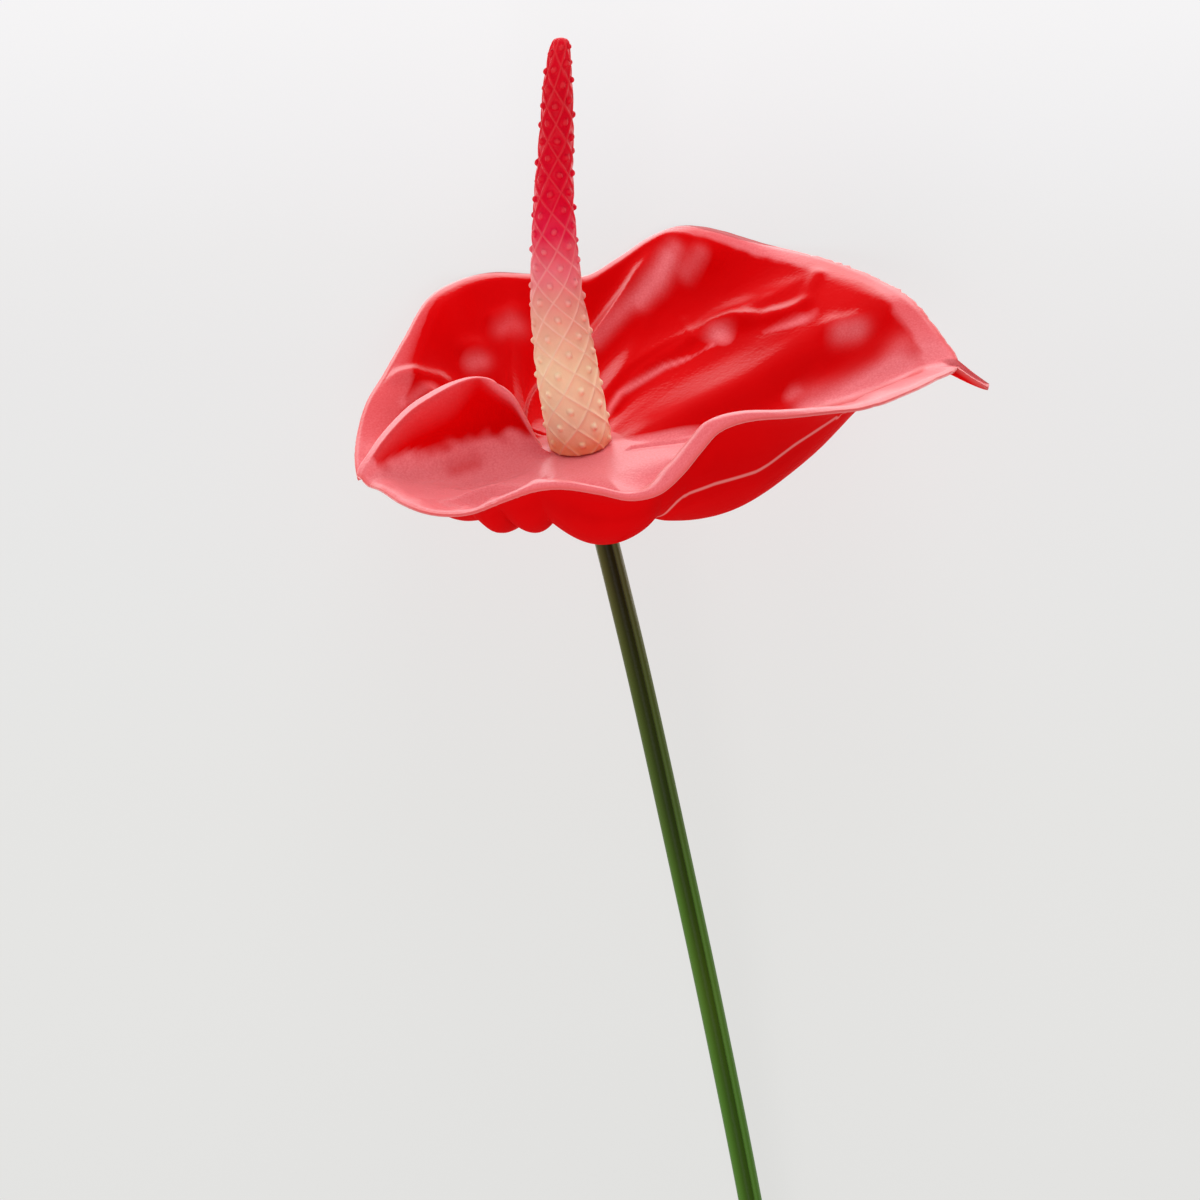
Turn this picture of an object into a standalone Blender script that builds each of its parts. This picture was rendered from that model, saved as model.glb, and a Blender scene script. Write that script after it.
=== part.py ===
# Cut anthurium flower lying down: heart-shaped spathe, net-patterned spadix, grooved stem.
import math

import bpy
import bmesh
from mathutils import Matrix, Vector

MM = 0.001

# Pose of the flower: height of its base above the surface, tilt of its face, turn in plan
BASE_HEIGHT = 41.9 * MM
FACE_TILT = 27.0
FACE_TURN = 8.0

# Spathe sheet
SHEET = 1.1 * MM
LIP_FLAT = 0.95
LIP_POWER = 1.2
PILLOW_POWER = 0.9
FOLD_WIDTH = 24.0
FOLD_START = -156.0
FOLD_TOP = 0.7
FOLD_TOP_START = 0.3
FOLD_POWER = 4.0
FOLD_STEEPER = 3.0
FOLD_SWEEP = 1.2
TAIL_ANGLE = 0.6
TAIL_START = 0.955
TAIL_LENGTH = 5.6 * MM
TAIL_DROP = 5.8 * MM

# Angle round the base, reach of the rim, height of the rim: degrees and mm
RIM = (
    (-180, 44.4, 1.8), (-166, 41.8, 3.5), (-151, 41.0, 3.7), (-134, 41.7, 4.9),
    (-121, 43.1, 7.4), (-109.5, 44.6, 11.5), (-101, 45.9, 14.1), (-94, 47.6, 14.8),
    (-86.5, 49.6, 13.7), (-80.5, 51.7, 12.3), (-75, 53.9, 13.2), (-70.3, 55.2, 16.4),
    (-66, 55.8, 20.1), (-62, 56.7, 23.2), (-55.5, 57.6, 23.4), (-47, 59.0, 21.0),
    (-37.4, 60.9, 17.9), (-27, 63.7, 14.1), (-17, 67.5, 11.6), (-8, 72.2, 9.3),
    (0, 77.5, 7.4), (7.5, 76.0, 10.2), (17, 74.6, 13.4), (26.4, 73.8, 13.9),
    (38, 73.0, 14.5), (49.6, 70.9, 16.0), (59.4, 66.8, 20.3), (64, 63.4, 21.9),
    (68.3, 60.3, 21.1), (75, 55.9, 18.1), (83, 53.4, 15.3), (95, 55.2, 16.7),
    (103, 57.5, 17.8), (111, 56.9, 18.1), (119.5, 54.0, 17.6), (130, 49.8, 13.8),
    (142, 47.0, 10.3), (153, 46.0, 8.2), (167, 44.9, 5.4), (180, 44.3, 4.4),
)

# Angle round the base, how late the side wall rises, shares of the reach where the wall starts
# and where the lip starts
WALL = (
    (-180, 3.0, 0.22, 0.92), (-140, 4.4, 0.22, 0.89), (-100, 6.7, 0.22, 0.86),
    (-70, 7.5, 0.22, 0.85), (-40, 6.6, 0.22, 0.85), (-25, 2.8, 0.22, 0.86),
    (-12, 2.2, 0.22, 0.88), (-2, 2.4, 0.22, 0.91), (1, 2.3, 0.20, 0.91), (4, 1.9, 0.20, 0.91),
    (8, 1.4, 0.18, 0.91), (13, 1.1, 0.16, 0.90), (20, 1.0, 0.14, 0.90), (30, 1.0, 0.13, 0.90),
    (45, 1.0, 0.14, 0.90), (60, 1.05, 0.18, 0.90), (80, 1.2, 0.20, 0.91), (100, 1.3, 0.20, 0.91),
    (125, 1.5, 0.20, 0.87), (145, 1.7, 0.20, 0.80), (165, 2.0, 0.20, 0.82), (180, 2.2, 0.22, 0.88),
)

# The valley along the midrib swings toward the far side on its way to the apex, in degrees
VALLEY_SWING = 15.0
VALLEY_BEND = 0.55
VALLEY_POWER = 1.6
VALLEY_CORE = 18.0
VALLEY_FADE = 25.0

# Veins: angle at the rim and how far they sweep back toward the base
VEINS = (
    (-180, 0), (-147, 0), (-125.5, 0), (-115.5, 0), (-102, 0), (-72, 0), (-17, -30),
    (12, -40), (36, 75), (64, 130), (100, 60), (141, 20), (180, 0),
)

# Depth in mm of the hollow between each vein and the next
HOLLOWS = (1.0, 1.8, 3.2, 2.8, 4.7, 4.2, 0.6, 1.0, 1.9, 3.0, 2.6, 2.2)

# Upturned margin of the near lobe: share of the reach, height in mm, overlap in degrees
MARGIN = (
    (0.125, 0.0, 0.0), (0.15, 1.6, -2.0), (0.18, 4.0, 5.0), (0.22, 8.0, 14.0),
    (0.27, 12.2, 20.0), (0.34, 14.8, 21.0), (0.43, 16.2, 18.5), (0.53, 15.9, 14.5),
    (0.63, 14.6, 10.5), (0.72, 12.9, 7.5), (0.80, 10.6, 4.5), (0.87, 8.3, 1.6),
    (0.93, 6.0, -1.4), (0.97, 4.8, -3.8), (1.0, 3.8, -6.4),
)

# The far lobe's margin beneath it: share of the reach, overlap in degrees, drop in mm
UNDERLAP = (
    (0.125, 0.0, 0.0), (0.15, -5.0, 0.0), (0.20, -4.0, 0.0), (0.50, -2.0, 0.0),
    (0.80, 0.0, 0.0), (0.93, 3.5, 1.2), (1.0, 4.5, 2.1),
)

# Pressed crease on the back of the near side: angle, height
CREASE = (
    (-70.4, 0.0), (-69.7, 2.2), (-68.7, 4.8), (-67.3, 6.6), (-64.5, 7.8), (-58.2, 8.3),
    (-51.4, 8.0), (-47.3, 7.8), (-44.6, 8.3), (-38.2, 10.2), (-33.6, 10.9), (-26.8, 11.7),
)
CREASE_DEPTH = 0.9
CREASE_WIDTH = 1.7
CREASE_STEP = 0.87
CREASE_REACH = 6.0
CREASE_START = 0.6
CREASE_EASE = 0.1

# Columns of the spathe grid: start angle, end angle, steps
COLUMNS = (
    (-180, -168, 8), (-168, -150, 6), (-150, -130, 5), (-130, -56, 24), (-56, -6, 12), (-6, -1.8, 2),
    (-1.8, -0.6, 1), (-0.6, 0.6, 1), (0.6, 1.8, 1), (1.8, 6, 2), (6, 56, 13),
    (56, 110, 15), (110, 180, 16),
)

# Rings of the spathe grid as shares of the reach; the columns are joined up to the third
RINGS = (
    0.0, 0.065, 0.125, 0.15, 0.18, 0.22, 0.27, 0.34, 0.43, 0.53, 0.63, 0.72, 0.80, 0.87, 0.93,
    0.97, 1.0,
)
JOINED = 0.126

# Clear gap between the pieces where they meet
GAP = 0.3 * MM

# Spadix: lean toward the viewer, shift of its foot toward the far side
SPADIX_LEAN = 14.0
FOOT_SHIFT = 2.2 * MM
TIP_CUT = 80.2 * MM
TIP_STEPS = ((0.72, 0.0005), (0.5, 0.0003))

# Height along the spadix, sideways offset of its centre, radius: mm
SPADIX = (
    (-4.0, 0.5, 4.6), (-1.5, 0.5, 5.5), (0.5, 0.5, 6.1), (2.5, 0.3, 6.35), (7.0, -0.5, 6.3),
    (14.9, -1.9, 6.15), (22.9, -3.0, 5.7), (28.9, -3.8, 5.2), (40.9, -4.4, 4.35),
    (48.0, -4.45, 3.9), (55.2, -4.3, 3.5), (64.7, -3.8, 3.1), (71.9, -3.6, 2.7),
    (76.7, -3.4, 2.15), (79.1, -3.2, 1.8), (80.3, -3.1, 1.5), (88.0, -3.0, 1.0),
)

# Net on the spadix: falling and rising lines, climb per turn, height of the raised line
FALL_STARTS = 5
FALL_PITCH = 30.0 * MM
RISE_STARTS = 6
RISE_PITCH = 52.0 * MM
NET_HEIGHT = 0.22 * MM
NET_STEPS = (0.0, 0.1, 0.5, 0.9)
NET_ROWS = 33
NET_FIRST = -7
NET_TURN = 0.0
NET_WOBBLE = 0.35 * MM

# One dot in the middle of each mesh of the net
DOT_RADIUS = 0.62 * MM
DOT_TOP = 0.55
DOT_HEIGHT = 0.6 * MM

# Stem: distance down the picture, sideways position, both from the flower's base, mm
STEM_PATH = (
    (-6.0, -0.5), (1.6, 1.4), (18.2, 5.8), (45.8, 12.5), (82.7, 20.7), (113.8, 27.4),
    (151.5, 35.0), (240.0, 51.5), (336.0, 68.4), (342.0, 69.5),
)
STEM_LENGTH = 336.0
STEM_RADIUS = 2.45 * MM
STEM_THIN = 0.15 * MM
STEM_SAG = 1.6
STEM_SIDES = 24
STEM_RINGS = 30
STEM_SPREAD = 1.15
GROOVE_SIDE = 2
GROOVE_DEPTH = 0.35 * MM
CUT_SLANT = 12.0

FLOOR_BLOCK = (0.3, 0.3, 0.02)
PRECISION = 0.00002
SHORT_EDGE = 0.00005


def mix(table, x, column):
    """Smooth curve through one column of a table."""
    if x <= table[0][0]:
        return table[0][column]
    if x >= table[-1][0]:
        return table[-1][column]
    row = 0
    while table[row + 1][0] < x:
        row += 1

    def slope(k):
        before = max(k - 1, 0)
        after = min(k + 1, len(table) - 1)
        return (table[after][column] - table[before][column]) / (table[after][0] - table[before][0])

    span = table[row + 1][0] - table[row][0]
    t = (x - table[row][0]) / span
    low = table[row][column]
    high = table[row + 1][column]
    rise = (2 * t ** 3 - 3 * t ** 2 + 1) * low + (3 * t ** 2 - 2 * t ** 3) * high
    bend = (t ** 3 - 2 * t ** 2 + t) * slope(row) + (t ** 3 - t ** 2) * slope(row + 1)
    return rise + bend * span


def ease(x):
    x = min(max(x, 0.0), 1.0)
    return x * x * (3 - 2 * x)


def wall(t, power, lip):
    if t > lip:
        over = t - lip
        t = lip + over - LIP_FLAT * over ** LIP_POWER / (1 - lip) ** (LIP_POWER - 1)
    end = lip + (1 - lip) * (1 - LIP_FLAT)
    return (t / end) ** power


def vein_angle(k, r):
    return VEINS[k][0] + VEINS[k][1] * (1 - r) ** 2 * min(r / 0.3, 1.0)


def crease_share(angle, height):
    """How close a point of the near wall is to the pressed crease, 1 on it and 0 away from it."""
    if not CREASE[0][0] - CREASE_REACH < angle < CREASE[-1][0] + CREASE_REACH:
        return 0.0
    here = Vector((angle * CREASE_STEP, height))
    nearest = CREASE_REACH
    for first, second in zip(CREASE[:-1], CREASE[1:]):
        start = Vector((first[0] * CREASE_STEP, first[1]))
        run = Vector((second[0] * CREASE_STEP, second[1])) - start
        share = min(max((here - start).dot(run) / run.length_squared, 0.0), 1.0)
        nearest = min(nearest, (here - start - run * share).length)
    return math.exp(-(nearest / CREASE_WIDTH) ** 2)


def sheet_point(angle, r):
    """Middle of the sheet in the flower's own axes, mm: toward the apex, the far side, up."""
    reach = mix(RIM, angle, 1)
    rim = mix(RIM, angle, 2)
    swing = VALLEY_SWING * (1 - ((1 - r) / VALLEY_BEND) ** VALLEY_POWER)
    side_angle = angle - swing * (1 - ease((abs(angle) - VALLEY_CORE) / VALLEY_FADE))
    start = mix(WALL, side_angle, 2)
    t = max(0.0, (r - start) / (1 - start))
    height = rim * wall(t, mix(WALL, side_angle, 1), mix(WALL, side_angle, 3))

    # Hollows between the veins
    for k in range(len(VEINS) - 1):
        first = vein_angle(k, r)
        second = vein_angle(k + 1, r)
        if first < angle < second:
            share = (angle - first) / (second - first)
            near = ease(-angle / 30.0)
            grow = ease((r - 0.15 - 0.1 * near) / 0.42)
            fade = 1 - ease((r - 0.74 - 0.06 * near) / (0.24 - 0.04 * near))
            height -= HOLLOWS[k] * grow * fade * math.sin(math.pi * share) ** PILLOW_POWER

    height += CREASE_DEPTH * ease((r - CREASE_START) / CREASE_EASE) * crease_share(angle, height)

    # Upturned margin and the margin beneath it
    turn = angle
    if r > JOINED:
        fold = max(0.0, (FOLD_START - angle) / FOLD_WIDTH)
        outer = ease((r - FOLD_TOP_START) / FOLD_TOP_START)
        lift = fold ** (FOLD_POWER + FOLD_STEEPER * outer) / (1 - FOLD_TOP * outer)
        height += min(lift, 1.0) * (mix(MARGIN, r, 1) - height)
        turn -= fold ** FOLD_SWEEP * mix(MARGIN, r, 2)
        under = max(0.0, (angle + FOLD_START) / FOLD_WIDTH) ** FOLD_POWER
        height -= under * mix(UNDERLAP, r, 2)
        turn += under * mix(UNDERLAP, r, 1)

    # Curled tail at the apex
    if abs(angle) < 2 * TAIL_ANGLE:
        pull = ease((r - TAIL_START) / (1 - TAIL_START))
        reach += pull * TAIL_LENGTH / MM
        height -= pull * TAIL_DROP / MM

    a = reach * r * math.cos(math.radians(turn))
    b = reach * r * math.sin(math.radians(turn))
    return a, b, height


def flower_axes():
    """Axes of the flower's face: toward the apex, toward the far side, up along the spadix."""
    tilt = math.radians(FACE_TILT)
    turn = Matrix.Rotation(math.radians(FACE_TURN), 3, "Z")
    apex = turn @ Vector((1, 0, 0))
    far = turn @ Vector((0, math.sin(tilt), -math.cos(tilt)))
    up = turn @ Vector((0, math.cos(tilt), math.sin(tilt)))
    return apex, far, up


def quad_grid(columns, rows):
    """Open grid of quads with its vertices in rows, ready to be moved into shape."""
    bm = bmesh.new()
    bmesh.ops.create_grid(bm, x_segments=columns, y_segments=rows, size=0.5)
    return bm


def cell(vert, columns, rows):
    return round((vert.co.x + 0.5) * columns), round((vert.co.y + 0.5) * rows)


def cut_end(bm, point, outward):
    """Cut a tube square at a plane and close it with one flat face."""
    geometry = bm.verts[:] + bm.edges[:] + bm.faces[:]
    bmesh.ops.bisect_plane(
        bm, geom=geometry, dist=PRECISION, plane_co=point, plane_no=outward, clear_outer=True
    )
    rim = [vert for vert in bm.verts if abs((vert.co - point).dot(outward)) < PRECISION]
    bmesh.ops.remove_doubles(bm, verts=rim, dist=SHORT_EDGE)
    loop = [edge for edge in bm.edges if edge.is_boundary]
    loop = [edge for edge in loop if abs((edge.verts[0].co - point).dot(outward)) < PRECISION]
    return bmesh.ops.contextual_create(bm, geom=loop)["faces"]


def finish(bm, name):
    bmesh.ops.recalc_face_normals(bm, faces=bm.faces)
    mesh = bpy.data.meshes.new(name)
    bm.to_mesh(mesh)
    bm.free()
    mesh.shade_smooth()
    piece = bpy.data.objects.new(name, mesh)
    flower.objects.link(piece)
    return piece


def paint(piece, colour, roughness):
    material = bpy.data.materials.new(piece.name)
    material.use_nodes = True
    shader = material.node_tree.nodes["Principled BSDF"]
    shader.inputs["Base Color"].default_value = (*colour, 1)
    shader.inputs["Roughness"].default_value = roughness
    material.diffuse_color = (*colour, 1)
    piece.data.materials.append(material)


def build_spathe():
    angles = []
    for start, end, steps in COLUMNS:
        angles += [start + (end - start) * k / steps for k in range(steps)]
    angles.append(COLUMNS[-1][1])
    columns = len(angles) - 1
    rows = len(RINGS) - 1
    bm = quad_grid(columns, rows)
    for vert in bm.verts:
        i, j = cell(vert, columns, rows)
        a, b, height = sheet_point(angles[i], RINGS[j])
        vert.co = (apex * a + far * b + up * height) * MM
    bmesh.ops.remove_doubles(bm, verts=bm.verts, dist=PRECISION)
    bmesh.ops.dissolve_degenerate(bm, edges=bm.edges, dist=PRECISION)
    bmesh.ops.triangulate(bm, faces=bm.faces)
    piece = finish(bm, "spathe")
    thicken = piece.modifiers.new("sheet", "SOLIDIFY")
    thicken.thickness = SHEET
    thicken.offset = 0
    paint(piece, (0.55, 0.005, 0.01), 0.35)
    return piece


def spadix_point(turn, height):
    """Point of the bare spadix at a share of a turn, left to right, and a height."""
    shift = mix(SPADIX, height / MM, 1) * MM
    radius = mix(SPADIX, height / MM, 2) * MM
    across = Vector((-math.cos(math.tau * turn), 0, 0)) + lean_front * math.sin(math.tau * turn)
    return foot + side * shift + lean_up * height + across * radius, across


def build_spadix():
    pitches = FALL_PITCH + RISE_PITCH
    first = Vector((FALL_PITCH / FALL_STARTS / pitches, 0))
    first.y = RISE_PITCH * first.x
    second = Vector((-RISE_PITCH / RISE_STARTS / pitches, 0))
    second.y = -FALL_PITCH * second.x
    parts = len(NET_STEPS)
    columns = FALL_STARTS * parts
    rows = NET_ROWS * parts
    bm = quad_grid(columns, rows)
    middles = []
    for vert in bm.verts:
        i, j = cell(vert, columns, rows)
        along = i // parts + NET_STEPS[i % parts]
        across = NET_FIRST + j // parts + NET_STEPS[j % parts]
        turn, height = first * along + second * across
        height += NET_WOBBLE * math.sin(math.tau * (2 * turn + height / FALL_PITCH))
        point, outward = spadix_point(turn + NET_TURN, height)
        if i % parts == 0 or j % parts == 0:
            point += outward * NET_HEIGHT
        if i % parts == 2 and j % parts == 2:
            middles.append(vert)
        vert.co = point
    bmesh.ops.dissolve_verts(bm, verts=middles)
    dots = [face for face in bm.faces if len(face.verts) > 4]
    bmesh.ops.remove_doubles(bm, verts=bm.verts, dist=PRECISION)

    # Raise one round dot inside each mesh
    bmesh.ops.inset_individual(bm, faces=dots, thickness=DOT_RADIUS / 4)
    shape_dots(dots, DOT_RADIUS, 0)
    bmesh.ops.inset_individual(bm, faces=dots, thickness=DOT_RADIUS / 4)
    shape_dots(dots, DOT_RADIUS * DOT_TOP, DOT_HEIGHT)
    bmesh.ops.triangulate(bm, faces=bm.faces)

    cut_end(bm, up * (SHEET / 2 + GAP), -up)
    cap = cut_end(bm, foot + lean_up * TIP_CUT, lean_up)
    for size, rise in TIP_STEPS:
        cap = bmesh.ops.extrude_discrete_faces(bm, faces=cap)["faces"]
        centre = cap[0].calc_center_median()
        for vert in cap[0].verts:
            vert.co = centre + (vert.co - centre) * size + lean_up * rise
    bmesh.ops.poke(bm, faces=cap)
    piece = finish(bm, "spadix")
    paint(piece, (0.75, 0.32, 0.2), 0.45)
    return piece


def shape_dots(faces, radius, height):
    for face in faces:
        centre = face.calc_center_median()
        normal = (centre - spine(centre)).normalized()
        for vert in face.verts:
            flat = vert.co - centre
            flat -= normal * flat.dot(normal)
            vert.co = centre + flat.normalized() * radius + normal * height


def spine(point):
    """Nearest point of the spadix centre line."""
    height = (point - foot).dot(lean_up)
    return foot + side * mix(SPADIX, height / MM, 1) * MM + lean_up * height


def stem_centre(t):
    """Centre of the stem at a distance in mm down the picture; it sags to the surface."""
    drop = BASE_HEIGHT - STEM_RADIUS + STEM_THIN
    left = max(1 - t / STEM_LENGTH, 0)
    return Vector((mix(STEM_PATH, t, 1) * MM, -t * MM, -drop * (1 - left ** STEM_SAG)))


def build_stem():
    start = STEM_PATH[0][0]
    length = STEM_PATH[-1][0] - start
    bm = quad_grid(STEM_SIDES, STEM_RINGS)
    for vert in bm.verts:
        i, j = cell(vert, STEM_SIDES, STEM_RINGS)
        t = start + length * (j / STEM_RINGS) ** STEM_SPREAD
        centre = stem_centre(t)
        along = (stem_centre(t + 1) - stem_centre(t - 1)).normalized()
        right = Vector((0, 0, 1)).cross(along).normalized()
        top = along.cross(right)
        angle = math.tau * i / STEM_SIDES
        radius = STEM_RADIUS - STEM_THIN * j / STEM_RINGS
        if i == GROOVE_SIDE:
            radius -= GROOVE_DEPTH
        vert.co = centre + (right * math.sin(angle) + top * math.cos(angle)) * radius
    bmesh.ops.remove_doubles(bm, verts=bm.verts, dist=PRECISION)
    bmesh.ops.triangulate(bm, faces=bm.faces)
    cut_end(bm, -up * (SHEET / 2 + GAP), up)
    slant = Matrix.Rotation(math.radians(CUT_SLANT), 3, "Z")
    end = stem_centre(STEM_LENGTH)
    cut_end(bm, end, slant @ (end - stem_centre(STEM_LENGTH - 1)).normalized())
    piece = finish(bm, "stem")
    paint(piece, (0.05, 0.1, 0.02), 0.4)
    return piece


def bounds(pieces):
    """Lowest and highest corner of the finished pieces."""
    depsgraph = bpy.context.evaluated_depsgraph_get()
    corners = []
    for piece in pieces:
        corners += [Vector(corner) for corner in piece.evaluated_get(depsgraph).bound_box]
    low = Vector([min(corner[k] for corner in corners) for k in range(3)])
    high = Vector([max(corner[k] for corner in corners) for k in range(3)])
    return low, high


# Fresh scene
for old in list(bpy.data.objects):
    bpy.data.objects.remove(old)
flower = bpy.data.collections.new("anthurium_flower")
bpy.context.scene.collection.children.link(flower)
cutters = bpy.data.collections.new("cutters")
bpy.context.scene.collection.children.link(cutters)

apex, far, up = flower_axes()
side = Vector((1, 0, 0))
lean = math.radians(SPADIX_LEAN)
lean_up = Vector((0, math.cos(lean), math.sin(lean)))
lean_front = Vector((0, -math.sin(lean), math.cos(lean)))
foot = far * FOOT_SHIFT + up * (SHEET / 2 + GAP)

spathe = build_spathe()
spadix = build_spadix()
stem = build_stem()
pieces = (spathe, spadix, stem)

# Origin under the middle of the box round the flower, the surface at zero
low, high = bounds(pieces)
shift = Vector((-(low.x + high.x) / 2, -(low.y + high.y) / 2, BASE_HEIGHT))
for piece in pieces:
    piece.data.transform(Matrix.Translation(shift))

# Small flats where the far rim rests on the surface
block_bm = bmesh.new()
bmesh.ops.create_cube(block_bm, size=1)
bmesh.ops.scale(block_bm, verts=block_bm.verts, vec=FLOOR_BLOCK)
bmesh.ops.translate(block_bm, verts=block_bm.verts, vec=(0, shift.y, -FLOOR_BLOCK[2] / 2))
block_mesh = bpy.data.meshes.new("surface_cut")
block_bm.to_mesh(block_mesh)
block_bm.free()
block = bpy.data.objects.new("surface_cut", block_mesh)
cutters.objects.link(block)
block.hide_render = True
block.display_type = "WIRE"
rest_cut = spathe.modifiers.new("rest", "BOOLEAN")
rest_cut.operation = "DIFFERENCE"
rest_cut.solver = "EXACT"
rest_cut.object = block
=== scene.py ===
import math

import bmesh
import bpy
from mathutils import Matrix, Vector, noise


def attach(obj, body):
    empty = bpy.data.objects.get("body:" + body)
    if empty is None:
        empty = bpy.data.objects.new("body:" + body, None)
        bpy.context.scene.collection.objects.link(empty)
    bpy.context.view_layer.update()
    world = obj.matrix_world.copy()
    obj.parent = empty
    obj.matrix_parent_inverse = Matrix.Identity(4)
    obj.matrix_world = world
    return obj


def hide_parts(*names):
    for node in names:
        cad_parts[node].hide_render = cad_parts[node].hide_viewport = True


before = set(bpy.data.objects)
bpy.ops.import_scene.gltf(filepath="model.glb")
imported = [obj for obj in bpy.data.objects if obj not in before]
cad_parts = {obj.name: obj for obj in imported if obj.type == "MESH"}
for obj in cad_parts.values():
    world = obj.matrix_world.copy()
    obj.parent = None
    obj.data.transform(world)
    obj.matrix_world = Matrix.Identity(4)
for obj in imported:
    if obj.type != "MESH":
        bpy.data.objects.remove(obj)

mm = 0.001
scene = bpy.context.scene
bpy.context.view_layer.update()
scene.view_settings.view_transform = "Standard"


# Small helpers

def srgb(code):
    # hex sRGB to the linear colour that the shaders take
    parts = [int(code[k:k + 2], 16) / 255 for k in (0, 2, 4)]
    linear = [c / 12.92 if c <= 0.04045 else ((c + 0.055) / 1.055) ** 2.4 for c in parts]
    return (*linear, 1.0)


def perMetre(size):
    # pattern scale for a real size in mm
    return 1 / (size * mm)


def addNode(tree, kind, settings=None, links=None):
    # one node; a setting is a property or a socket's value, a link is socket: (node, its output)
    node = tree.nodes.new(kind)
    for key, value in (settings or {}).items():
        if isinstance(key, int) or key in node.inputs:
            node.inputs[key].default_value = value
        else:
            setattr(node, key, value)
    for key, (source, output) in (links or {}).items():
        tree.links.new(source.outputs[output], node.inputs[key])
    return node


def rampStops(node, stops):
    # places and colours of a colour ramp
    elements = node.color_ramp.elements
    while len(elements) > 1:
        elements.remove(elements[-1])
    elements[0].position, elements[0].color = stops[0][0], srgb(stops[0][1])
    for place, code in stops[1:]:
        elements.new(place).color = srgb(code)


def startMaterial(name):
    # empty material with its principled shader
    material = bpy.data.materials.new(name)
    material.use_nodes = True
    tree = material.node_tree
    tree.nodes.clear()
    out = addNode(tree, "ShaderNodeOutputMaterial")
    shader = addNode(tree, "ShaderNodeBsdfPrincipled")
    tree.links.new(shader.outputs["BSDF"], out.inputs["Surface"])
    return material, tree, shader


def smoothTable(table, x, column):
    # smooth curve through one column of a table
    if x <= table[0][0]:
        return table[0][column]
    if x >= table[-1][0]:
        return table[-1][column]
    row = 0
    while table[row + 1][0] < x:
        row += 1

    def slope(k):
        before, after = max(k - 1, 0), min(k + 1, len(table) - 1)
        return (table[after][column] - table[before][column]) / (table[after][0] - table[before][0])

    span = table[row + 1][0] - table[row][0]
    t = (x - table[row][0]) / span
    low, high = table[row][column], table[row + 1][column]
    rise = (2 * t ** 3 - 3 * t ** 2 + 1) * low + (3 * t ** 2 - 2 * t ** 3) * high
    return rise + ((t ** 3 - 2 * t ** 2 + t) * slope(row) + (t ** 3 - t ** 2) * slope(row + 1)) * span


def ease(x):
    # soft step from 0 to 1
    x = min(max(x, 0.0), 1.0)
    return x * x * (3 - 2 * x)


def bump(distance, width):
    # soft bump, 1 in the middle
    return math.exp(-(distance / width) ** 2)


def gridOf(columns, rows, values):
    # flat grid whose vertices know their column and row, with named values for the materials
    bm = bmesh.new()
    layers = [bm.verts.layers.float.new(value) for value in values]
    bm.verts.layers.deform.verify()  # made now, since a later layer would upset the others
    bmesh.ops.create_grid(bm, x_segments=columns, y_segments=rows, size=0.5)
    places = {}
    for vert in bm.verts:
        places[vert] = (round((vert.co.x + 0.5) * columns), round((vert.co.y + 0.5) * rows))
    return bm, places, layers


def makePiece(bm, name, material, node):
    # object that takes the place of a node of the CAD model
    mesh = bpy.data.meshes.new(name)
    bm.to_mesh(mesh)
    bm.free()
    mesh.shade_smooth()
    mesh.materials.append(material)
    piece = bpy.data.objects.new(name, mesh)
    scene.collection.objects.link(piece)
    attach(piece, "root")
    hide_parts(node)
    return piece


def finerSteps(stops, parts):
    # the same stops with extra ones between
    steps = []
    for a, b in zip(stops[:-1], stops[1:]):
        steps += [a + (b - a) * k / parts for k in range(parts)]
    return steps + [stops[-1]]


# How the flower lies

pose = {
    "base": (-18.75, 128.18, 41.9),  # where stem, spathe and spadix meet, mm
    "tilt": 27.0,  # how far the open face leans toward the viewer
    "turn": 8.0,
}
base = Vector(pose["base"]) * mm
turnPlan = Matrix.Rotation(math.radians(pose["turn"]), 3, "Z")
tiltSin, tiltCos = math.sin(math.radians(pose["tilt"])), math.cos(math.radians(pose["tilt"]))
toApex = turnPlan @ Vector((1, 0, 0))
toFar = turnPlan @ Vector((0, tiltSin, -tiltCos))
toFace = turnPlan @ Vector((0, tiltCos, tiltSin))  # out of the open face
print("frame and pose ready")


# Spathe, in mm and degrees

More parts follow.
